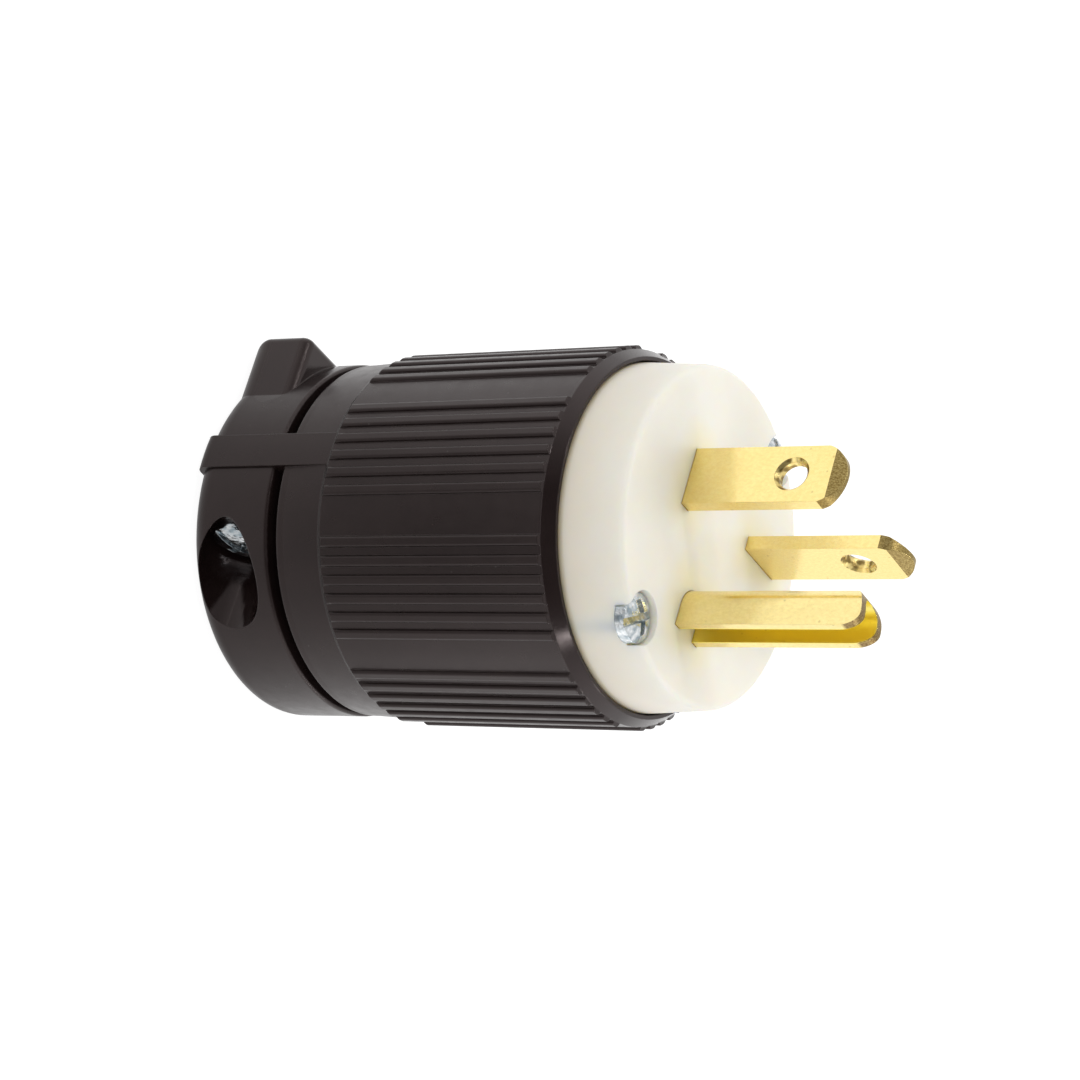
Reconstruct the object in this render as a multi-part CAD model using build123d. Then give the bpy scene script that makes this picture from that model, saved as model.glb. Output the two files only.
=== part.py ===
import os
from math import cos, radians, sin

from build123d import *

# A rewirable straight blade plug standing on its cord end, blades up.
# X runs right and Y runs up when the blade face is looked at with the ground pin at the bottom.
# Z runs along the plug from the cord end to the blade tips. All sizes are millimetres.

# Blade pattern
blade_width = 6.35
blade_thickness = 1.52
hot_x = -6.35
neutral_x = 9.5
blade_line_y = 3.0
ground_drop = 11.9
ground_width = 4.75
ground_height = 4.75
ground_sheet = 1.0
blade_reach = 17.5
blade_straight = 15.15
bevel_start = 15.95
bevel_tip_thickness = 0.5
blade_hole_d = 3.1
blade_hole_sink = 0.35
blade_hole_reach = 11.6
ground_reach = 20.3
ground_top_straight = 17.9
ground_open_straight = 17.9
ground_nose_y = -1.0

# Lengths along the plug
face_z = 52.0
lip_z = 44.85
rib_end_z = 43.4
rib_start_z = 16.55
housing_rear_z = 11.0
jaw_length = 9.95
band_length = 1.0
rib_rise = 0.45

# Housing outside
rib_rear_r = 19.5
grip_flare = 0.15
lip_drop = 1.2
band_drop = 0.9
band_flare = 0.25
rear_edge_round = 0.4
rib_groups = 8
ribs_per_group = 6
rib_pitch_deg = 5.85
rib_width = 1.15
rib_height = 0.38
rib_front_rise = 0.2
rib_edge_round = 0.33
rib_root = 0.3

# Housing inside
lip_wall = 0.4
ledge_depth = 1.6
grip_wall = 2.55
step_z = 22.4
chamber_wall = 4.1
rear_wall = 2.2
cord_hole_r = 8.9
cord_hole_round = 0.8

# Side arms that carry the cord clamp
arm_half_width = 1.9
arm_proud = 0.4
arm_eye_wall = 1.05
arm_end_round = 1.2
arm_strip_depth = 1.6
arm_eye_r = 2.25

# White blade carrier
root_gap = 0.2
face_draft = 0.4
face_edge_round = 0.6
core_gap = 0.15
core_rear_z = 26.0
pocket_headroom = 1.9
slot_clearance = 0.06
hot_pocket_inner_x = -3.6
neutral_pocket_inner_y = 0.2
ground_pocket_inner_y = -4.6
pocket_half_width = 4.2
ground_pocket_half_width = 4.0

# Retainer disc behind the carrier
wire_hole_r = 2.75
hot_wire_x = -10.2
neutral_wire_y = 6.9
ground_wire_y = -10.6

# Terminals
tab_width = 7.6
ground_tab_width = 7.0
terminal_z = 32.5
terminal_shank_r = 1.95
terminal_hole_gap = 0.05
terminal_head_r = 3.1
terminal_head_height = 2.0
terminal_head_side = 1.4
terminal_tip = 1.6
plate_thickness = 1.3
plate_size = 7.2
plate_corner = 0.8
plate_hole_gap = 0.15

# Assembly screws
assembly_inset = 1.55
assembly_angle = 59.5
assembly_pocket_r = 2.7
assembly_pocket_depth = 1.8
assembly_head_r = 2.55
assembly_head_side = 1.1
assembly_head_height = 1.75
assembly_shank_r = 1.4
assembly_hole_gap = 0.1
assembly_thread_gap = 0.04
assembly_shank_end_z = 29.0
post_r = 2.9
post_gap = 0.2
post_hole_end_z = 27.5

# Cord clamp
jaw_proud = 0.08
jaw_rear_round = 2.2
jaw_front_round = 0.35
cord_seat_r = 8.3
cord_seat_flare = 0.8
ear_wall = 1.45
ear_drop = 3.33
ear_length = 7.45
ear_corner_round = 1.15
ear_round = 2.3
ear_top_round = 0.8
clamp_screw_inset = 5.18
clamp_screw_z = 4.6
clamp_pocket_r = 3.8
clamp_seat_y = -6.9
clamp_head_r = 3.0
clamp_head_side = 1.1
clamp_head_height = 1.8
clamp_shank_r = 1.95
clamp_hole_gap = 0.2
clamp_thread_gap = 0.04
clamp_shank_end_y = 10.5
clamp_hole_end_y = 11.4

# Screw driver recess
slot_width = 0.85
slot_depth = 0.75
cross_width = 0.8
cross_reach = 1.75
low_screw_turn = 40
high_screw_turn = 110
left_screw_turn = 25
right_screw_turn = -50

# How far a cutting tool runs past the face it cuts, and how closely an edge must lie where it is looked for
overrun = 1.0
edge_tolerance = 0.01

rib_front_r = rib_rear_r + grip_flare
band_r = rib_rear_r - band_drop
band_front_r = band_r + band_flare
lip_outer_r = rib_front_r - lip_drop
lip_bore_r = lip_outer_r - lip_wall
core_bore_r = rib_front_r - grip_wall
chamber_r = rib_rear_r - chamber_wall
ledge_z = lip_z - ledge_depth
arm_outer_r = band_r + arm_proud
jaw_r = band_r + jaw_proud
clamp_screw_x = jaw_r - clamp_screw_inset
arm_inner_x = clamp_screw_x - arm_eye_r - arm_eye_wall
ear_x = clamp_screw_x + clamp_shank_r + ear_wall
ear_top_y = jaw_r - ear_drop
root_r = lip_bore_r - root_gap
face_r = root_r - face_draft
core_r = core_bore_r - core_gap
assembly_r = face_r - assembly_inset
grip_rear_z = rib_start_z + rib_rise
grip_rear_r = rib_rear_r - rib_height
grip_front_r = rib_front_r - rib_height
grip_front_z = rib_end_z + rib_front_rise
pocket_ceiling_z = terminal_z + plate_size / 2 + pocket_headroom
ground_y = blade_line_y - ground_drop
tip_z = face_z + blade_reach
ground_tip_z = face_z + ground_reach
assembly_x = assembly_r * cos(radians(assembly_angle))
assembly_y = assembly_r * sin(radians(assembly_angle))
assembly_seat_z = face_z - assembly_pocket_depth


def turned(points):
    """Solid of revolution about the plug axis from (radius, height) points."""
    outline = make_face(Plane.XZ * Polyline(*points, close=True))
    return revolve(outline, Axis.Z)


def outlined(plane, *curves):
    """Face on a plane bounded by curves that join end to end."""
    edges = []
    for curve in curves:
        edges += (plane * curve).edges()
    return make_face(edges)


def block(x0, x1, y0, y1, z0, z1):
    """Box between two corners."""
    return Pos((x0 + x1) / 2, (y0 + y1) / 2, (z0 + z1) / 2) * Box(x1 - x0, y1 - y0, z1 - z0)


def upright(x, y, z0, z1, r):
    """Cylinder along Z."""
    return Pos(x, y, (z0 + z1) / 2) * Cylinder(r, z1 - z0)


def along_y(x, z, y0, y1, r):
    """Cylinder along Y."""
    return Pos(x, (y0 + y1) / 2, z) * Rot(90, 0, 0) * Cylinder(r, y1 - y0)


def rim(solid, radius, height):
    """Full circular edges of one radius lying at one height."""
    picked = []
    for edge in solid.edges().filter_by(GeomType.CIRCLE):
        offset = edge.center(CenterOf.BOUNDING_BOX).Z - height
        if abs(edge.radius - radius) < edge_tolerance and abs(offset) < edge_tolerance:
            picked.append(edge)
    return picked


def screw(head_r, head_side, head_height, shank_r, shank_length):
    """Screw with its seat at the origin, head up, shank down, slot and cross recess in the head."""
    crown = head_height - head_side
    crown_r = (head_r * head_r + crown * crown) / (2 * crown)
    head = upright(0, 0, 0, head_height, head_r) & (Pos(0, 0, head_height - crown_r) * Sphere(crown_r))
    floor = head_height - slot_depth
    head -= block(-head_r, head_r, -slot_width / 2, slot_width / 2, floor, head_height)
    head -= block(-cross_width / 2, cross_width / 2, -cross_reach, cross_reach, floor, head_height)
    return head + upright(0, 0, -shank_length, 0, shank_r)


def blade(z_rear):
    """Flat blade on the axis, width along Y, thickness along X, with its terminal tab below."""
    half = blade_width / 2
    straight = face_z + blade_straight
    outline = Polyline((-half, straight), (-half, z_rear), (half, z_rear), (half, straight))
    nose = ThreePointArc((half, straight), (0, tip_z), (-half, straight))
    profile = outlined(Plane.YZ, outline, nose)
    half_t = blade_thickness / 2
    body = extrude(profile, half_t, both=True)
    body += block(-half_t, half_t, -tab_width / 2, tab_width / 2, z_rear, pocket_ceiling_z)
    hole = Cylinder(blade_hole_d / 2, 2 * blade_thickness)
    for side in (-1, 1):
        sink = Cone(blade_hole_d / 2, blade_hole_d / 2 + blade_hole_sink, blade_hole_sink)
        turn = Rot(90 - 90 * side, 0, 0)
        hole += Pos(0, 0, side * (blade_thickness - blade_hole_sink) / 2) * turn * sink
    body -= Pos(0, 0, face_z + blade_hole_reach) * Rot(0, 90, 0) * hole
    for side in (-1, 1):
        wedge = make_face(Plane.XZ * Polyline(
            (side * blade_thickness / 2, face_z + bevel_start),
            (side * bevel_tip_thickness / 2, tip_z),
            (side * blade_thickness, tip_z),
            (side * blade_thickness, face_z + bevel_start),
            close=True,
        ))
        body -= extrude(wedge, blade_width, both=True)
    return body


def ground_section(grow):
    """U section of the ground pin, round side toward +Y, grown by a clearance."""
    outer_r = ground_width / 2 + grow
    inner_r = ground_width / 2 - ground_sheet - grow
    centre_y = ground_y + ground_height / 2 - ground_width / 2
    open_y = ground_y - ground_height / 2 - grow
    outer = Pos(0, centre_y) * Circle(outer_r)
    outer += Pos(0, (centre_y + open_y) / 2) * Rectangle(2 * outer_r, centre_y - open_y)
    inner = Pos(0, centre_y) * Circle(inner_r)
    inner += Pos(0, (centre_y + open_y) / 2) * Rectangle(2 * inner_r, centre_y - open_y)
    return outer - inner


def terminal_screw(stack):
    """Terminal screw with its seat at the origin, long enough for the plate and tab stack."""
    reach = stack + terminal_tip
    return screw(terminal_head_r, terminal_head_side, terminal_head_height, terminal_shank_r, reach)


def clamp_plate():
    """Square pressure plate lying on XY with its tab side at zero."""
    plate = extrude(RectangleRounded(plate_size, plate_size, plate_corner), plate_thickness)
    return plate - upright(0, 0, -plate_thickness, 2 * plate_thickness, terminal_shank_r + plate_hole_gap)


# Housing
shell = turned([
    (cord_hole_r, housing_rear_z),
    (band_r, housing_rear_z),
    (band_r, housing_rear_z + band_length),
    (band_front_r, rib_start_z),
    (grip_rear_r, grip_rear_z),
    (grip_front_r, grip_front_z),
    (lip_outer_r, lip_z),
    (lip_bore_r, lip_z),
    (lip_bore_r, ledge_z),
    (core_bore_r, ledge_z),
    (core_bore_r, step_z),
    (chamber_r, step_z),
    (chamber_r, housing_rear_z + rear_wall),
    (cord_hole_r, housing_rear_z + rear_wall),
])
shell = fillet(rim(shell, band_r, housing_rear_z), rear_edge_round)
shell = fillet(rim(shell, cord_hole_r, housing_rear_z), cord_hole_round)

# Grip ribs, standing on the sleeve in groups with a plain panel between the groups
rib_outline = make_face(Plane.XZ * Polyline(
    (grip_rear_r - rib_root, grip_rear_z),
    (grip_rear_r, grip_rear_z),
    (rib_rear_r, grip_rear_z + rib_height),
    (rib_front_r, rib_end_z),
    (grip_front_r, grip_front_z),
    (grip_front_r - rib_root, grip_front_z),
    close=True,
))
rib = extrude(rib_outline, rib_width / 2, both=True)
crest = rib.faces().sort_by(Axis.X)[-1]
rib = fillet(crest.edges().sort_by(SortBy.LENGTH)[-2:], rib_edge_round)
ribs = []
for group in range(rib_groups):
    for index in range(ribs_per_group):
        angle = group * 360 / rib_groups + (index - (ribs_per_group - 1) / 2) * rib_pitch_deg
        ribs.append(Rot(0, 0, angle) * rib)
shell += ribs

# Screw posts inside the housing
posts = []
post_holes = []
for side in (-1, 1):
    x = side * assembly_x
    y = side * assembly_y
    posts.append(upright(x, y, housing_rear_z + rear_wall, ledge_z, post_r))
    post_holes.append(upright(x, y, post_hole_end_z, ledge_z, assembly_shank_r + assembly_thread_gap))
inside = upright(0, 0, housing_rear_z + rear_wall, ledge_z, (core_bore_r + grip_rear_r) / 2)
shell += [post & inside for post in posts]
shell -= post_holes

# Arms
arm_round = upright(0, 0, 0, grip_rear_z, arm_outer_r)
arm_round = fillet(rim(arm_round, arm_outer_r, 0), arm_end_round)
arm_core = upright(0, 0, housing_rear_z + rear_edge_round, lip_z, arm_outer_r - arm_strip_depth)
for side in (-1, 1):
    x_in = side * arm_inner_x
    x_out = side * (arm_outer_r + overrun)
    arm = block(min(x_in, x_out), max(x_in, x_out), -arm_half_width, arm_half_width, 0, grip_rear_z)
    arm = (arm & arm_round) - arm_core
    arm -= along_y(side * clamp_screw_x, clamp_screw_z, -2 * arm_half_width, 2 * arm_half_width, arm_eye_r)
    shell += arm
housing = shell

# White blade carrier
carrier = turned([
    (0, core_rear_z),
    (core_r, core_rear_z),
    (core_r, ledge_z),
    (root_r, ledge_z),
    (root_r, lip_z),
    (face_r, face_z),
    (0, face_z),
])
carrier = fillet(rim(carrier, face_r, face_z), face_edge_round)
for side in (-1, 1):
    x = side * assembly_x
    y = side * assembly_y
    carrier -= upright(x, y, core_rear_z, ledge_z, post_r + post_gap)
    carrier -= upright(x, y, ledge_z, face_z, assembly_shank_r + assembly_hole_gap)
    carrier -= upright(x, y, assembly_seat_z, face_z, assembly_pocket_r)
carrier -= block(-core_r, hot_pocket_inner_x, blade_line_y - pocket_half_width,
                 blade_line_y + pocket_half_width, core_rear_z, pocket_ceiling_z)
carrier -= block(neutral_x - pocket_half_width, neutral_x + pocket_half_width, neutral_pocket_inner_y, core_r,
                 core_rear_z, pocket_ceiling_z)
carrier -= block(-ground_pocket_half_width, ground_pocket_half_width, -core_r, ground_pocket_inner_y,
                 core_rear_z, pocket_ceiling_z)
slot_half_t = blade_thickness / 2 + slot_clearance
slot_half_w = blade_width / 2 + slot_clearance
carrier -= block(hot_x - slot_half_t, hot_x + slot_half_t, blade_line_y - slot_half_w,
                 blade_line_y + slot_half_w, pocket_ceiling_z, face_z)
carrier -= block(neutral_x - slot_half_w, neutral_x + slot_half_w, blade_line_y - slot_half_t,
                 blade_line_y + slot_half_t, pocket_ceiling_z, face_z)
carrier -= Pos(0, 0, pocket_ceiling_z) * extrude(ground_section(slot_clearance), face_z - pocket_ceiling_z)
face_body = carrier

# Retainer disc
retainer = upright(0, 0, step_z, core_rear_z, core_r)
for side in (-1, 1):
    retainer -= upright(side * assembly_x, side * assembly_y, step_z, core_rear_z, post_r + post_gap)
for x, y in ((hot_wire_x, blade_line_y), (neutral_x, neutral_wire_y), (0, ground_wire_y)):
    retainer -= upright(x, y, step_z, core_rear_z, wire_hole_r)
rear_retainer = retainer

# Blades
bare_blade = blade(core_rear_z)
tapped = Rot(0, 90, 0) * Cylinder(terminal_shank_r + terminal_hole_gap, 2 * blade_thickness)
bare_blade -= Pos(0, 0, terminal_z) * tapped
hot_blade = Pos(hot_x, blade_line_y, 0) * bare_blade
neutral_blade = Pos(neutral_x, blade_line_y, 0) * Rot(0, 0, 90) * bare_blade

# Ground pin
pin = Pos(0, 0, pocket_ceiling_z) * extrude(ground_section(0), ground_tip_z - pocket_ceiling_z)
pin_top = ground_y + ground_height / 2
pin_open = ground_y - ground_height / 2
nose_y = ground_y + ground_nose_y
top_end = face_z + ground_top_straight
open_end = face_z + ground_open_straight
top_arc = EllipticalCenterArc((nose_y, top_end), pin_top - nose_y, ground_tip_z - top_end,
                              start_angle=0, arc_size=90)
open_arc = EllipticalCenterArc((nose_y, open_end), nose_y - pin_open, ground_tip_z - open_end,
                               start_angle=90, arc_size=90)
sides = Polyline((pin_open, open_end), (pin_open, pocket_ceiling_z), (pin_top, pocket_ceiling_z),
                 (pin_top, top_end))
bullet = outlined(Plane.YZ, top_arc, open_arc, sides)
pin = pin & extrude(bullet, ground_width, both=True)
tab_inner_y = pin_top - ground_sheet
pin += block(-ground_tab_width / 2, ground_tab_width / 2, tab_inner_y, pin_top, core_rear_z, pocket_ceiling_z)
pin -= along_y(0, terminal_z, tab_inner_y - overrun, pin_top + overrun, terminal_shank_r + terminal_hole_gap)
ground_pin = pin

# Terminals, each plate lying on its tab and each screw seated on its plate
hot_seat = Pos(hot_x - blade_thickness / 2, blade_line_y, terminal_z) * Rot(0, -90, 0)
neutral_seat = Pos(neutral_x, blade_line_y + blade_thickness / 2, terminal_z) * Rot(-90, 0, 0)
ground_seat = Pos(0, tab_inner_y, terminal_z) * Rot(90, 0, 0)
over_plate = Pos(0, 0, plate_thickness)
hot_clamp_plate = hot_seat * clamp_plate()
neutral_clamp_plate = neutral_seat * clamp_plate()
ground_clamp_plate = ground_seat * clamp_plate()
hot_terminal_screw = hot_seat * over_plate * terminal_screw(plate_thickness + blade_thickness)
neutral_terminal_screw = neutral_seat * over_plate * terminal_screw(plate_thickness + blade_thickness)
ground_terminal_screw = ground_seat * over_plate * terminal_screw(plate_thickness + ground_sheet)

# Assembly screws
assembly_screw = screw(assembly_head_r, assembly_head_side, assembly_head_height, assembly_shank_r,
                       assembly_seat_z - assembly_shank_end_z)
low_seat = Pos(-assembly_x, -assembly_y, assembly_seat_z)
high_seat = Pos(assembly_x, assembly_y, assembly_seat_z)
assembly_screw_low = low_seat * Rot(0, 0, low_screw_turn) * assembly_screw
assembly_screw_high = high_seat * Rot(0, 0, high_screw_turn) * assembly_screw

# Cord clamp jaws
jaw_disc = upright(0, 0, 0, jaw_length, jaw_r)
jaw_disc = fillet(rim(jaw_disc, jaw_r, 0), jaw_rear_round)
jaw_disc = fillet(rim(jaw_disc, jaw_r, jaw_length), jaw_front_round)
seat = turned([
    (0, 0),
    (cord_seat_r + cord_seat_flare, 0),
    (cord_seat_r, cord_seat_flare),
    (cord_seat_r, jaw_length - cord_seat_flare),
    (cord_seat_r + cord_seat_flare, jaw_length),
    (0, jaw_length),
])
ears = block(-ear_x, ear_x, -ear_round, ear_top_y, 0, ear_length)
ears = fillet(ears.edges().filter_by(Axis.Y).group_by(Axis.Z)[-1], ear_corner_round)
ears = fillet(ears.faces().sort_by(Axis.Z)[0].edges(), ear_round)
ears = fillet(ears.faces().sort_by(Axis.Y)[-1].edges(), ear_top_round)
jaw_upper = (jaw_disc + ears) & block(-jaw_r, jaw_r, arm_half_width, jaw_r, 0, jaw_length)
jaw_upper -= seat
jaw_lower = jaw_disc & block(-jaw_r, jaw_r, -jaw_r, -arm_half_width, 0, jaw_length)
jaw_lower -= seat
for side in (-1, 1):
    x = side * clamp_screw_x
    jaw_upper -= along_y(x, clamp_screw_z, 0, clamp_hole_end_y, clamp_shank_r + clamp_thread_gap)
    jaw_lower -= along_y(x, clamp_screw_z, -jaw_r, 0, clamp_shank_r + clamp_hole_gap)
    jaw_lower -= along_y(x, clamp_screw_z, -jaw_r, clamp_seat_y, clamp_pocket_r)
upper_clamp_jaw = jaw_upper
lower_clamp_jaw = jaw_lower

# Clamp screws, heads in the lower jaw
clamp_screw = screw(clamp_head_r, clamp_head_side, clamp_head_height, clamp_shank_r,
                    clamp_shank_end_y - clamp_seat_y)
heads_down = Rot(90, 0, 0)
clamp_screw_left = Pos(-clamp_screw_x, clamp_seat_y, clamp_screw_z) * heads_down
clamp_screw_left = clamp_screw_left * Rot(0, 0, left_screw_turn) * clamp_screw
clamp_screw_right = Pos(clamp_screw_x, clamp_seat_y, clamp_screw_z) * heads_down
clamp_screw_right = clamp_screw_right * Rot(0, 0, right_screw_turn) * clamp_screw

nodes = {
    "housing": housing,
    "face_body": face_body,
    "rear_retainer": rear_retainer,
    "hot_blade": hot_blade,
    "neutral_blade": neutral_blade,
    "ground_pin": ground_pin,
    "hot_terminal_screw": hot_terminal_screw,
    "neutral_terminal_screw": neutral_terminal_screw,
    "ground_terminal_screw": ground_terminal_screw,
    "hot_clamp_plate": hot_clamp_plate,
    "neutral_clamp_plate": neutral_clamp_plate,
    "ground_clamp_plate": ground_clamp_plate,
    "assembly_screw_low": assembly_screw_low,
    "assembly_screw_high": assembly_screw_high,
    "upper_clamp_jaw": upper_clamp_jaw,
    "lower_clamp_jaw": lower_clamp_jaw,
    "clamp_screw_left": clamp_screw_left,
    "clamp_screw_right": clamp_screw_right,
}

os.makedirs("parts", exist_ok=True)
for name, shape in nodes.items():
    export_step(shape, "parts/" + name + ".step")
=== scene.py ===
import bpy
from mathutils import Matrix, Vector

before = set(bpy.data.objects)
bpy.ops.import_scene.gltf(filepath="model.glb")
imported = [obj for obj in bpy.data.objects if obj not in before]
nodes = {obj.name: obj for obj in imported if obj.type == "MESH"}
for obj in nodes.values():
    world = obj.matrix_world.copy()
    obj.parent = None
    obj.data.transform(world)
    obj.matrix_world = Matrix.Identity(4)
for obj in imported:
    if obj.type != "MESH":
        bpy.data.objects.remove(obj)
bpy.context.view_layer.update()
scene = bpy.context.scene
scene.view_settings.view_transform = "Standard"

MM = 0.001

# Camera, placed in millimetres in the part's frame: it looks at the plug with the cord end to the left
CAMERA_AT = (-301.87, -175.35, 251.48)
CAMERA_RIGHT = Vector((0.4660, 0.2594, 0.8460)).normalized()
CAMERA_BACK = Vector((-0.7316, -0.4247, 0.5333)).normalized()
CAMERA_LENS = 132.96
CAMERA_SENSOR = 36.0
CLIP_START = 0.01
CLIP_END = 20.0

# Places that a finish follows, in millimetres. A band is where a change starts and where it ends.
RING_BAND = (43.3, 43.6)
DEPTH_BAND = (44.85, 51.6)
ROOT_BAND = (44.9, 45.35)
HEAD_BAND = (50.1, 50.2)
TIP_BAND = (66.8, 66.9)
CLAMP_SCREW_XZ = (13.5, 4.6)
POCKET_BAND = (3.83, 3.9)
SCREW_WALL_XY = (8.9, 15.1)
PAINTED_SCREW_SHADE_BAND = (0.2, 0.9)
DARK_SPOT_XY = (-70.0, -40.0)
DARK_SPOT_BAND = (25.0, 92.0)
PAINTED_BRASS_REFLECTION_BAND = (0.0, 3.6)
FOOT_EDGE_BAND = (0.2, 0.6)
HOLLOW_BAND = (1.45, 1.6)

# Rectangles across the plug, in millimetres: middle in X and Y, then half the size in X and Y
HOT_FOOT = (-6.35, 3.0, 0.76, 3.18)
NEUTRAL_FOOT = (9.5, 3.0, 3.18, 0.76)
GROUND_FOOT = (0.0, -8.9, 2.38, 2.38)
PIN_HOLLOW = (0.0, -10.1, 0.0, 1.2)

# Parts of a noise's range that a change is spread over
NOISE_MIDDLE = (0.35, 0.65)
NOISE_WIDE = (0.3, 0.7)

# Edges: samples, and the cosines between which a rounded normal counts as an edge
EDGE_SAMPLES = 6
EDGE_COSINES = (0.80, 0.985)

up = CAMERA_BACK.cross(CAMERA_RIGHT).normalized()
right = up.cross(CAMERA_BACK).normalized()
camera_data = bpy.data.cameras.new("camera")
camera_data.lens = CAMERA_LENS
camera_data.sensor_width = CAMERA_SENSOR
camera_data.clip_start = CLIP_START
camera_data.clip_end = CLIP_END
camera = bpy.data.objects.new("camera", camera_data)
scene.collection.objects.link(camera)
pose = Matrix((right, up, CAMERA_BACK)).transposed().to_4x4()
pose.translation = Vector(CAMERA_AT) * MM
camera.matrix_world = pose
scene.camera = camera


def metres(values):
    """Millimetres as metres."""
    return [value * MM for value in values]


def tree_of(owner, output="ShaderNodeOutputMaterial"):
    """Empty node tree with an output, ready for its shader."""
    owner.use_nodes = True
    tree = owner.node_tree
    tree.nodes.clear()
    return tree, tree.nodes.new(output)


def new_finish(name):
    """Material with its node tree and its shader."""
    material = bpy.data.materials.new(name)
    tree, output = tree_of(material)
    shader = tree.nodes.new("ShaderNodeBsdfPrincipled")
    tree.links.new(shader.outputs["BSDF"], output.inputs["Surface"])
    return material, tree, shader


def noise(tree, scale, detail, stretch=(1, 1, 1)):
    """Noise over the object's own coordinates, scale in features per metre."""
    coords = tree.nodes.new("ShaderNodeTexCoord")
    mapping = tree.nodes.new("ShaderNodeMapping")
    mapping.inputs["Scale"].default_value = stretch
    texture = tree.nodes.new("ShaderNodeTexNoise")
    texture.inputs["Scale"].default_value = scale
    texture.inputs["Detail"].default_value = detail
    tree.links.new(coords.outputs["Object"], mapping.inputs["Vector"])
    tree.links.new(mapping.outputs["Vector"], texture.inputs["Vector"])
    return texture.outputs["Fac"]


def spread(tree, source, between, onto):
    """Map one range of a value onto another, clamped."""
    mapped = tree.nodes.new("ShaderNodeMapRange")
    for name, value in zip(("From Min", "From Max", "To Min", "To Max"), (*between, *onto)):
        mapped.inputs[name].default_value = value
    tree.links.new(source, mapped.inputs["Value"])
    return mapped.outputs["Result"]


def specks(tree, scale, size, cover):
    """Scattered specks, scale in cells per metre, size from full cover to none as a share of a cell."""
    coords = tree.nodes.new("ShaderNodeTexCoord")
    cells = tree.nodes.new("ShaderNodeTexVoronoi")
    cells.inputs["Scale"].default_value = scale
    tree.links.new(coords.outputs["Object"], cells.inputs["Vector"])
    return spread(tree, cells.outputs["Distance"], size, (cover, 0))


def blend_colour(tree, factor, first, second):
    """Mix of two colours, each a tuple or a socket."""
    mix = tree.nodes.new("ShaderNodeMix")
    mix.data_type = "RGBA"
    tree.links.new(factor, mix.inputs["Factor"])
    sockets = [s for s in mix.inputs if s.type == "RGBA"]
    for socket, value in zip(sockets, (first, second)):
        if isinstance(value, tuple):
            socket.default_value = value
        else:
            tree.links.new(value, socket)
    return [s for s in mix.outputs if s.type == "RGBA"][0]


def mix_shaders(tree, factor, first, second):
    """The first shader where the factor is 0 and the second where it is 1."""
    mix = tree.nodes.new("ShaderNodeMixShader")
    for socket, source in zip(mix.inputs, (factor, first.outputs[0], second.outputs[0])):
        tree.links.new(source, socket)
    return mix.outputs["Shader"]


def axes(tree, source="Object"):
    """The object's own coordinates in metres, or its own normal, one socket for each axis."""
    coords = tree.nodes.new("ShaderNodeTexCoord")
    split = tree.nodes.new("ShaderNodeSeparateXYZ")
    tree.links.new(coords.outputs[source], split.inputs["Vector"])
    return split.outputs["X"], split.outputs["Y"], split.outputs["Z"]


def combine(tree, operation, *values):
    """Math node over sockets and numbers."""
    node = tree.nodes.new("ShaderNodeMath")
    node.operation = operation
    for socket, value in zip(node.inputs, values):
        if isinstance(value, (int, float)):
            socket.default_value = value
        else:
            tree.links.new(value, socket)
    return node.outputs["Value"]


def off_line(tree, first, second, at_first, at_second):
    """Distance from a line that runs along the third axis through the given place."""
    a = combine(tree, "SUBTRACT", first, at_first)
    b = combine(tree, "SUBTRACT", second, at_second)
    squares = combine(tree, "ADD", combine(tree, "MULTIPLY", a, a), combine(tree, "MULTIPLY", b, b))
    return combine(tree, "SQRT", squares)


def off_box(tree, first, second, at_first, at_second, half_first, half_second):
    """Distance from a rectangle that runs along the third axis."""
    outside = []
    for value, middle, half in ((first, at_first, half_first), (second, at_second, half_second)):
        reach = combine(tree, "ABSOLUTE", combine(tree, "SUBTRACT", value, middle))
        outside.append(combine(tree, "MAXIMUM", combine(tree, "SUBTRACT", reach, half), 0))
    return off_line(tree, *outside, 0, 0)


def rounded(tree, radius):
    """Normal with the edges rounded, by a radius in metres or a socket."""
    bevel = tree.nodes.new("ShaderNodeBevel")
    bevel.samples = EDGE_SAMPLES
    if isinstance(radius, float):
        bevel.inputs["Radius"].default_value = radius
    else:
        tree.links.new(radius, bevel.inputs["Radius"])
    return bevel.outputs["Normal"]


def bumped(tree, normal, height, depth):
    """Normal with a fine bump on it, depth in metres."""
    bump = tree.nodes.new("ShaderNodeBump")
    bump.inputs["Strength"].default_value = 1.0
    bump.inputs["Distance"].default_value = depth
    tree.links.new(height, bump.inputs["Height"])
    tree.links.new(normal, bump.inputs["Normal"])
    return bump.outputs["Normal"]


def on_edge(tree, normal):
    """1 where a rounded normal leaves the surface's own, on an edge, and 0 away from it."""
    surface = tree.nodes.new("ShaderNodeNewGeometry")
    turn = tree.nodes.new("ShaderNodeVectorMath")
    turn.operation = "DOT_PRODUCT"
    tree.links.new(normal, turn.inputs[0])
    tree.links.new(surface.outputs["Normal"], turn.inputs[1])
    return spread(tree, turn.outputs["Value"], EDGE_COSINES, (1, 0))


# Black nylon, with its edge and the depth of its grain in millimetres
BLACK = (0.0100, 0.0058, 0.0055, 1)
BLACK_PALER = (0.0130, 0.0078, 0.0074, 1)
BLACK_SPECULAR = 0.50
BLACK_SPECULAR_TINT = (1.0, 0.85, 0.84, 1)
BLACK_ROUGHNESS = (0.27, 0.36)
BLACK_EDGE = 0.16
BLACK_GRAIN_DEPTH = 0.006
RING_POLISH = 0.17
POCKET_POLISH = 0.22
# Paler edges: partly rubbed wear and partly a painted highlight on the eased edges
WEAR_AND_EDGE_HIGHLIGHT = (0.085, 0.072, 0.066, 1)
WEAR_AND_HIGHLIGHT_NOISE = (0.4, 0.7)
WEAR_AND_HIGHLIGHT_COVER = 0.5
DUST = (0.10, 0.095, 0.09, 1)
DUST_SIZE = (0.02, 0.05)
DUST_COVER = 0.5


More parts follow.
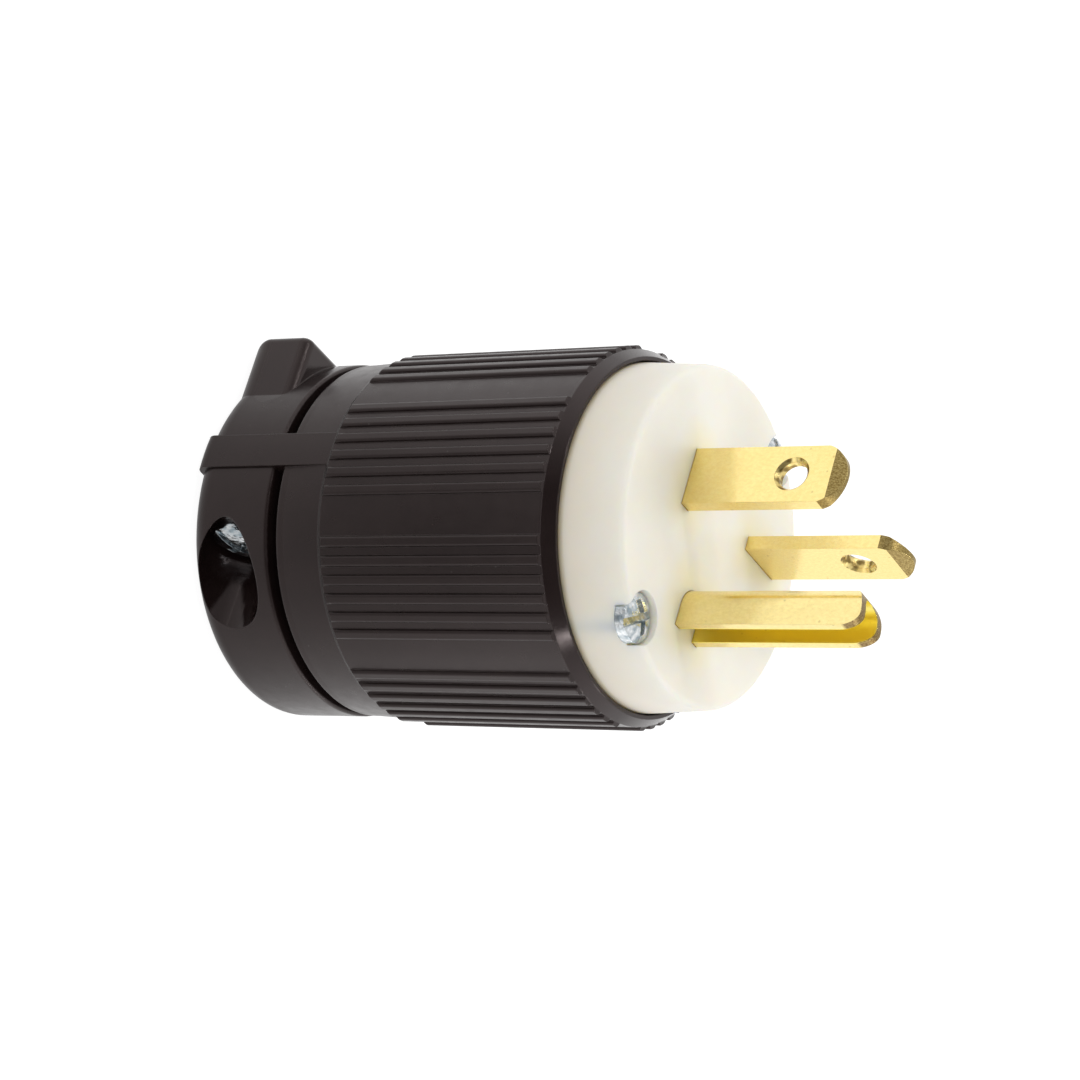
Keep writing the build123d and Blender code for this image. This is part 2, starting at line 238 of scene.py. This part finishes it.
def black_nylon():
    """Satin moulded nylon: near black and warm, glossier on the front ring and in the screw pockets,
    paler along its edges, partly from rubbed wear and partly as a painted highlight, with a fine grain and
    a few specks of dust."""
    material, tree, shader = new_finish("black_nylon")
    x, _, z = axes(tree)

    eased = rounded(tree, BLACK_EDGE * MM)
    grain = noise(tree, scale=9000, detail=2)
    normal = bumped(tree, eased, grain, BLACK_GRAIN_DEPTH * MM)
    tree.links.new(normal, shader.inputs["Normal"])

    tone = spread(tree, noise(tree, scale=260, detail=3), NOISE_MIDDLE, (0, 1))
    colour = blend_colour(tree, tone, BLACK, BLACK_PALER)
    dust = specks(tree, scale=420, size=DUST_SIZE, cover=DUST_COVER)
    colour = blend_colour(tree, dust, colour, DUST)
    # Paler along the eased edges: partly rubbed wear, partly a painted edge highlight
    patches = spread(tree, noise(tree, scale=500, detail=3), WEAR_AND_HIGHLIGHT_NOISE, (0, WEAR_AND_HIGHLIGHT_COVER))
    wear_and_highlight = combine(tree, "MULTIPLY", on_edge(tree, eased), patches)
    colour = blend_colour(tree, wear_and_highlight, colour, WEAR_AND_EDGE_HIGHLIGHT)
    tree.links.new(colour, shader.inputs["Base Color"])

    ring = spread(tree, z, metres(RING_BAND), (0, RING_POLISH))
    aside = combine(tree, "ABSOLUTE", x)
    from_screw = off_line(tree, aside, z, *metres(CLAMP_SCREW_XZ))
    pocket = spread(tree, from_screw, metres(POCKET_BAND), (POCKET_POLISH, 0))
    polish = combine(tree, "ADD", ring, pocket)
    rough = spread(tree, noise(tree, scale=700, detail=4), NOISE_WIDE, BLACK_ROUGHNESS)
    tree.links.new(combine(tree, "SUBTRACT", rough, polish), shader.inputs["Roughness"])
    shader.inputs["Specular IOR Level"].default_value = BLACK_SPECULAR
    shader.inputs["Specular Tint"].default_value = BLACK_SPECULAR_TINT
    return material


# White nylon, with its edges beside a blade and elsewhere, and its depths, in millimetres
DEEP = (0.70, 0.60, 0.46, 1)
DEEP_COVER = 0.50
# Painted reflection: warm yellow on the white beside the blades, standing for light bounced off the brass
PAINTED_BRASS_REFLECTION = (0.97, 0.86, 0.56, 1)
PAINTED_BRASS_REFLECTION_COVER = 0.75
ROOT = (0.62, 0.50, 0.27, 1)
ROOT_COVER = 0.55
# Painted shade: blue-grey on the thin walls outside the long screws, where the screws shade the wall from
# within
PAINTED_SCREW_SHADE = (0.52, 0.54, 0.54, 1)
PAINTED_SCREW_SHADE_COVER = 0.15
WHITE_ROUGHNESS = (0.30, 0.40)
WHITE_EDGES = (0.01, 0.15)
WHITE_GRAIN_DEPTH = 0.004
MILKY_WEIGHT = 0.7
MILKY_RADIUS = (1.0, 0.8, 0.5)
MILKY_DEPTH = 1.4


def white_nylon(name, light, shade):
    """Milky nylon: light sinks in a millimetre or so and comes back creamy. It is yellower at the root and
    beside the blades, where the yellow is a painted reflection of the brass. The long screws show blue-grey
    through the thin walls outside them as painted shade."""
    material, tree, shader = new_finish(name)
    x, y, z = axes(tree)

    tone = spread(tree, noise(tree, scale=180, detail=3), NOISE_MIDDLE, (0, 1))
    colour = blend_colour(tree, tone, light, shade)
    deep = spread(tree, z, metres(DEPTH_BAND), (DEEP_COVER, 0))
    colour = blend_colour(tree, deep, colour, DEEP)
    beside = off_box(tree, x, y, *metres(HOT_FOOT))
    for foot in (NEUTRAL_FOOT, GROUND_FOOT):
        beside = combine(tree, "MINIMUM", beside, off_box(tree, x, y, *metres(foot)))
    # Painted reflection of the brass: warm yellow near each blade's foot, fading out over a few millimetres
    painted_brass_reflection = spread(tree, beside, metres(PAINTED_BRASS_REFLECTION_BAND), (PAINTED_BRASS_REFLECTION_COVER, 0))
    colour = blend_colour(tree, painted_brass_reflection, colour, PAINTED_BRASS_REFLECTION)
    root = spread(tree, z, metres(ROOT_BAND), (ROOT_COVER, 0))
    colour = blend_colour(tree, root, colour, ROOT)
    # Painted shade where the long screws show through the thin walls, below their heads
    below_head = spread(tree, z, metres(HEAD_BAND), (1, 0))
    for side in (-1, 1):
        from_screw = off_line(tree, x, y, *(side * place for place in metres(SCREW_WALL_XY)))
        painted_screw_shade = spread(tree, from_screw, metres(PAINTED_SCREW_SHADE_BAND), (PAINTED_SCREW_SHADE_COVER, 0))
        shown = combine(tree, "MULTIPLY", painted_screw_shade, below_head)
        colour = blend_colour(tree, shown, colour, PAINTED_SCREW_SHADE)
    tree.links.new(colour, shader.inputs["Base Color"])

    rough = spread(tree, noise(tree, scale=500, detail=3), NOISE_WIDE, WHITE_ROUGHNESS)
    tree.links.new(rough, shader.inputs["Roughness"])
    shader.inputs["Subsurface Weight"].default_value = MILKY_WEIGHT
    shader.inputs["Subsurface Radius"].default_value = MILKY_RADIUS
    shader.inputs["Subsurface Scale"].default_value = MILKY_DEPTH * MM

    eased = rounded(tree, spread(tree, beside, metres(FOOT_EDGE_BAND), metres(WHITE_EDGES)))
    grain = noise(tree, scale=5000, detail=2)
    normal = bumped(tree, eased, grain, WHITE_GRAIN_DEPTH * MM)
    tree.links.new(normal, shader.inputs["Normal"])
    return material


# Metal, with its edge and the depth of its mottle in millimetres, and grains in features per metre
METAL_EDGE = 0.08
METAL_WAVE = 0.002
STRIP_GRAIN = 3600
SCREW_GRAIN = 1400
MOTTLE_STRETCH = (1, 1, 0.7)
# Cut faces are darker: partly the cut finish, partly painted shade on the tip bevels and in the hole
CUT_SLOPE = (0.12, 0.22)
CUT_ROUGHER = 0.18
SCORE_STRETCH = (1, 1, 0.5)
SCORE_NOISE = (0.38, 0.62)
SCORE_COVER = (0.62, 0.95)
HOLE_SHADE_NOISE = (0.42, 0.56)
HOLE_SHADE_COVER = (0.05, 0.85)
PIT = (0.42, 0.29, 0.10, 1)
PIT_SIZE = (0.04, 0.11)
PIT_COVER = 0.40
HOLLOW_ROUGHER = 0.18


def metal(name, light, shade, roughness, grain=SCREW_GRAIN, edge=METAL_EDGE, wave=METAL_WAVE,
          cut_and_shade=None, hollow=None):
    """Worked metal with a mottle, faint on most of them, and eased edges; on zinc the dark of the
    mottle is a painted reflection. Sheared metal has a few dark specks, and is darker and duller on the faces
    that were cut across the length of the strip, partly from the cut finish and partly as painted shade:
    scored at the tip and streaked in the hole, where the streaks are painted shade. A hollow colour is for
    the inside of the folded pin, which is yellower and duller."""
    material, tree, shader = new_finish(name)
    shader.inputs["Metallic"].default_value = 1.0

    mottle = noise(tree, grain, detail=3, stretch=MOTTLE_STRETCH)
    tone = spread(tree, mottle, NOISE_MIDDLE, (0, 1))
    colour = blend_colour(tree, tone, light, shade)
    rough = spread(tree, noise(tree, scale=600, detail=4), NOISE_WIDE, roughness)
    eased = rounded(tree, edge * MM)
    if hollow:
        x, y, _ = axes(tree)
        from_fold = off_box(tree, x, y, *metres(PIN_HOLLOW))
        within = spread(tree, from_fold, metres(HOLLOW_BAND), (1, 0))
        colour = blend_colour(tree, within, colour, hollow)
        rough = combine(tree, "ADD", rough, combine(tree, "MULTIPLY", within, HOLLOW_ROUGHER))
    # Darker cut faces: partly the cut finish and partly painted shade; the streaks in the hole are painted
    # shade
    if cut_and_shade:
        _, _, slope = axes(tree, "Normal")
        across = spread(tree, combine(tree, "ABSOLUTE", slope), CUT_SLOPE, (0, 1))
        across = combine(tree, "SUBTRACT", across, on_edge(tree, eased))
        _, _, z = axes(tree)
        tip = spread(tree, z, metres(TIP_BAND), (0, 1))
        scratches = noise(tree, scale=9000, detail=2, stretch=SCORE_STRETCH)
        scores = spread(tree, scratches, SCORE_NOISE, SCORE_COVER)
        hole_shade_streaks = spread(tree, noise(tree, scale=1300, detail=1), HOLE_SHADE_NOISE, HOLE_SHADE_COVER)
        hole_shade = combine(tree, "MULTIPLY", hole_shade_streaks, combine(tree, "SUBTRACT", 1, tip))
        cut_and_shade_mask = combine(tree, "ADD", combine(tree, "MULTIPLY", scores, tip), hole_shade)
        colour = blend_colour(tree, combine(tree, "MULTIPLY", across, cut_and_shade_mask), colour, cut_and_shade)
        pitted = specks(tree, scale=620, size=PIT_SIZE, cover=PIT_COVER)
        colour = blend_colour(tree, pitted, colour, PIT)
        rough = combine(tree, "ADD", rough, combine(tree, "MULTIPLY", across, CUT_ROUGHER))
    tree.links.new(colour, shader.inputs["Base Color"])
    tree.links.new(rough, shader.inputs["Roughness"])
    tree.links.new(bumped(tree, eased, mottle, wave * MM), shader.inputs["Normal"])
    return material


black = black_nylon()
white = white_nylon("white_nylon", light=(0.92, 0.895, 0.815, 1), shade=(0.90, 0.87, 0.78, 1))
retainer = white_nylon("retainer_nylon", light=(0.80, 0.77, 0.69, 1), shade=(0.76, 0.725, 0.64, 1))
# The cut-face colours are partly the cut finish and partly painted shade
brass = metal(
    "blade_brass", light=(0.96, 0.78, 0.33, 1), shade=(0.92, 0.72, 0.28, 1), roughness=(0.16, 0.24),
    grain=STRIP_GRAIN, cut_and_shade=(0.19, 0.12, 0.032, 1))
pin_brass = metal(
    "pin_brass", light=(0.94, 0.78, 0.35, 1), shade=(0.88, 0.71, 0.30, 1), roughness=(0.16, 0.24),
    grain=STRIP_GRAIN, cut_and_shade=(0.13, 0.058, 0.018, 1), hollow=(1.0, 0.85, 0.22, 1))
brass_screw = metal(
    "brass_screw", light=(0.80, 0.62, 0.28, 1), shade=(0.72, 0.54, 0.22, 1), roughness=(0.26, 0.36))
plated = metal(
    "plated_screw", light=(0.72, 0.72, 0.70, 1), shade=(0.62, 0.62, 0.60, 1), roughness=(0.24, 0.34))
green = metal(
    "green_screw", light=(0.10, 0.30, 0.14, 1), shade=(0.07, 0.24, 0.10, 1), roughness=(0.28, 0.38))
steel = metal(
    "plate_steel", light=(0.60, 0.60, 0.58, 1), shade=(0.52, 0.52, 0.50, 1), roughness=(0.30, 0.42))
# Zinc's dark shade colour gives the heads blotches: plating mottle and painted dark reflections
zinc = metal(
    "zinc_steel", light=(0.90, 0.92, 0.93, 1), shade=(0.36, 0.43, 0.47, 1), roughness=(0.14, 0.24),
    edge=0.16, wave=0.14)

finishes = {
    "housing": black,
    "upper_clamp_jaw": black,
    "lower_clamp_jaw": black,
    "face_body": white,
    "rear_retainer": retainer,
    "hot_blade": brass,
    "neutral_blade": brass,
    "ground_pin": pin_brass,
    "hot_terminal_screw": brass_screw,
    "neutral_terminal_screw": plated,
    "ground_terminal_screw": green,
    "hot_clamp_plate": steel,
    "neutral_clamp_plate": steel,
    "ground_clamp_plate": steel,
    "assembly_screw_low": zinc,
    "assembly_screw_high": zinc,
    "clamp_screw_left": zinc,
    "clamp_screw_right": zinc,
}
for name, material in finishes.items():
    mesh = nodes[name].data
    mesh.materials.clear()
    mesh.materials.append(material)

# Floor: white to the camera, with a soft shadow, and plain to the light that bounces off it.
# Reflections see it white too, apart from a darker spot on the camera's side.
FLOOR_SIZE = 8
FLOOR_Z = -0.0001
FLOOR_BOUNCE = (0.80, 0.80, 0.80, 1)
FLOOR_SHADOWED = (0.22, 0.22, 0.22, 1)
FLOOR_GLOW = 0.92
DARK_SPOT_GLOW = (0.15, 0.95)

bpy.ops.mesh.primitive_plane_add(size=FLOOR_SIZE, location=(0, 0, FLOOR_Z))
floor = bpy.context.object
floor.name = "floor"
paper = bpy.data.materials.new("floor")
tree, output = tree_of(paper)
path = tree.nodes.new("ShaderNodeLightPath")
camera_ray = path.outputs["Is Camera Ray"]
seen = combine(tree, "MAXIMUM", camera_ray, path.outputs["Is Glossy Ray"])
seen = combine(tree, "MAXIMUM", seen, path.outputs["Is Transmission Ray"])
bounce = tree.nodes.new("ShaderNodeBsdfDiffuse")
bounce.inputs["Color"].default_value = FLOOR_BOUNCE
shadowed = tree.nodes.new("ShaderNodeBsdfDiffuse")
shadowed.inputs["Color"].default_value = FLOOR_SHADOWED
glow = tree.nodes.new("ShaderNodeEmission")
floor_x, floor_y, _ = axes(tree)
from_dark = off_line(tree, floor_x, floor_y, *metres(DARK_SPOT_XY))
lit = spread(tree, from_dark, metres(DARK_SPOT_BAND), DARK_SPOT_GLOW)
bright = combine(tree, "MULTIPLY", camera_ray, FLOOR_GLOW)
tree.links.new(combine(tree, "MAXIMUM", lit, bright), glow.inputs["Strength"])
shown = tree.nodes.new("ShaderNodeAddShader")
tree.links.new(shadowed.outputs[0], shown.inputs[0])
tree.links.new(glow.outputs[0], shown.inputs[1])
tree.links.new(mix_shaders(tree, seen, bounce, shown), output.inputs["Surface"])
floor.data.materials.append(paper)

# Room: white all round, darker on the camera's side, and plain white to the camera
ROOM_COSINES = (0.38, 0.88)
ROOM_LEVEL = (1.1, 0.17)

world = bpy.data.worlds.new("room")
scene.world = world
tree, output = tree_of(world, "ShaderNodeOutputWorld")
coords = tree.nodes.new("ShaderNodeTexCoord")
facing = tree.nodes.new("ShaderNodeVectorMath")
facing.operation = "DOT_PRODUCT"
facing.inputs[1].default_value = CAMERA_BACK
tree.links.new(coords.outputs["Generated"], facing.inputs[0])
room = tree.nodes.new("ShaderNodeBackground")
level = spread(tree, facing.outputs["Value"], ROOM_COSINES, ROOM_LEVEL)
tree.links.new(level, room.inputs["Strength"])
backdrop = tree.nodes.new("ShaderNodeBackground")
backdrop.inputs["Color"].default_value = (1, 1, 1, 1)
backdrop.inputs["Strength"].default_value = 1.0
path = tree.nodes.new("ShaderNodeLightPath")
surround = mix_shaders(tree, path.outputs["Is Camera Ray"], room, backdrop)
tree.links.new(surround, output.inputs["Surface"])

# Soft boxes that face the plug's middle, set out from it in metres along the camera's own axes:
# name, right, up, back, width, height, power in watts, and whether reflections show it
PLUG_MIDDLE = Vector((0, 0, 40 * MM))
SOFT_BOXES = (
    ("top_light", 0.00, 0.50, 0.00, 0.70, 0.35, 0.20, True),
    ("low_light", 0.00, -0.50, 0.00, 0.70, 0.35, 0.20, True),
    ("spark_light", 0.50, 0.46, 0.44, 0.08, 0.08, 0.50, True),
    ("low_spot", 0.32, -0.62, 0.02, 0.07, 0.07, 0.40, True),
    ("ring_light", 0.11, -0.55, 0.42, 0.05, 0.05, 0.12, True),
    ("face_light", 0.55, 0.10, -0.10, 0.45, 0.45, 0.70, False),
    ("fill_light", 0.00, 0.00, 0.80, 0.60, 0.60, 2.10, False),
)
for name, along_right, along_up, along_back, width, height, power, reflected in SOFT_BOXES:
    light = bpy.data.lights.new(name, "AREA")
    light.shape = "RECTANGLE"
    light.size = width
    light.size_y = height
    light.energy = power
    lamp = bpy.data.objects.new(name, light)
    scene.collection.objects.link(lamp)
    lamp.location = PLUG_MIDDLE + right * along_right + up * along_up + CAMERA_BACK * along_back
    lamp.rotation_euler = (PLUG_MIDDLE - lamp.location).to_track_quat("-Z", "Y").to_euler()
    lamp.visible_glossy = reflected
